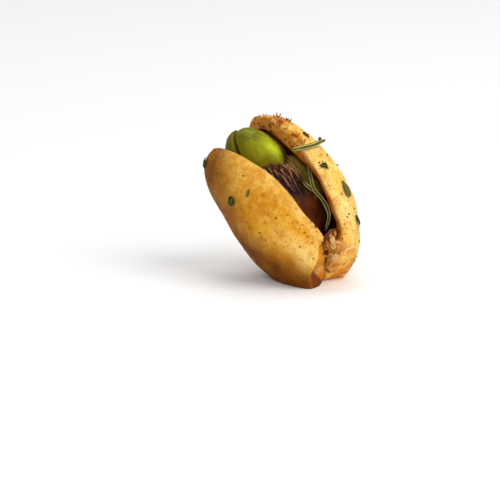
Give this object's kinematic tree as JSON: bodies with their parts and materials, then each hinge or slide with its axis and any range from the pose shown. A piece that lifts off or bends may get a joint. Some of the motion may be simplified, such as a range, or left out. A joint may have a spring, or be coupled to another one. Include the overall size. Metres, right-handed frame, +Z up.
{
  "type": "pistachio in shell",
  "caption": "Roasted pistachio standing on its stem end, hard shell gaping to show the green kernel in its torn skin, with dried herbs clinging to it.",
  "frame": {"origin": "centre of the bounding box in X and Y, at the level of the flat spot that the nut stands on", "axes": "+Z up; +Y away from the picture's camera, so the gaping mouth faces -Y; +X to the right in the picture"},
  "size_m": [0.0182, 0.0148, 0.018],
  "materials": {
    "shell": "satin",
    "kernel": "satin",
    "seed_coat": "matte",
    "herb": "matte",
    "spice": "matte",
    "pale_grain": "matte"
  },
  "bodies": {
    "root": {"shell_left": "shell", "shell_right": "shell", "seed_leaf_front": "kernel", "seed_leaf_back": "kernel", "seed_coat": "seed_coat", "herb_sprig": "herb", "herb_needle": "herb", "herb_flake_1": "herb", "herb_flake_2": "herb", "herb_flake_3": "herb", "herb_flake_4": "herb", "herb_flake_5": "herb", "herb_flake_6": "herb", "herb_flake_7": "herb", "spice_grain_1": "spice", "spice_grain_2": "spice", "spice_grain_3": "pale_grain", "spice_grain_4": "pale_grain"}
  },
  "joints": []
}
